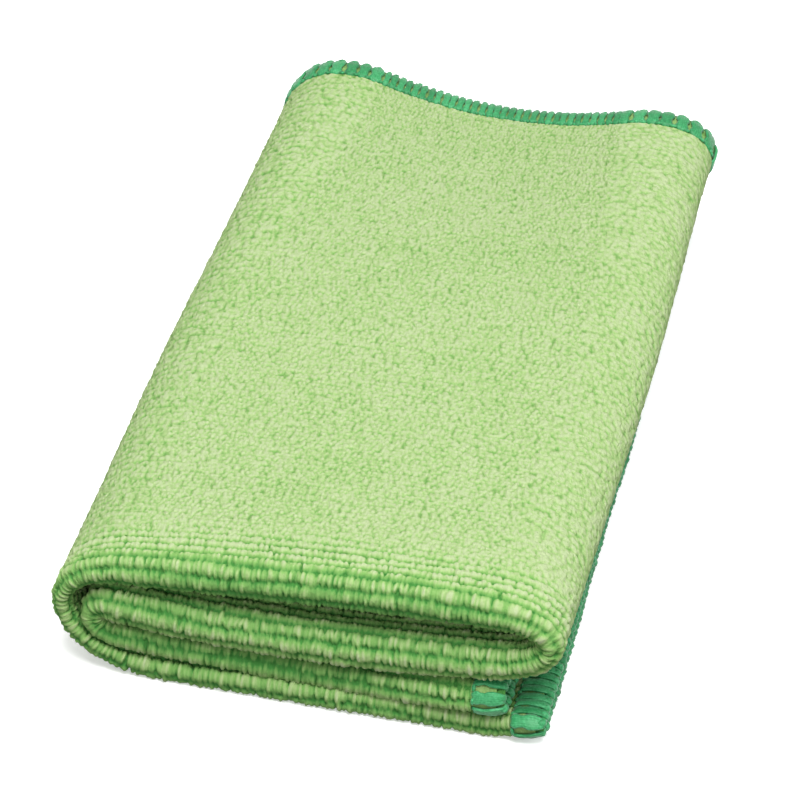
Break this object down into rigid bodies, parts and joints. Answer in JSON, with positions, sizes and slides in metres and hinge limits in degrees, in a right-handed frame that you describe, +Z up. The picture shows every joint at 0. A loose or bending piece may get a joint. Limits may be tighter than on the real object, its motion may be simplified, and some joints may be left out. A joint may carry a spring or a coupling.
{
  "type": "microfibre cloth",
  "caption": "Square microfibre terry cleaning cloth with overlocked edges, folded into a thick, soft oblong pack that lies flat.",
  "frame": {"origin": "centre of the folded cloth's footprint, on the surface that it lies on", "axes": "+X across the folded front, towards the two free ends; +Y along the length, from the rounded front fold to the sewn back edges; +Z up"},
  "size_m": [0.1052, 0.2026, 0.0335],
  "materials": {
    "microfibre terry": "short looped pile, dull and soft"
  },
  "bodies": {
    "root": {"cloth": "microfibre terry"}
  },
  "joints": []
}
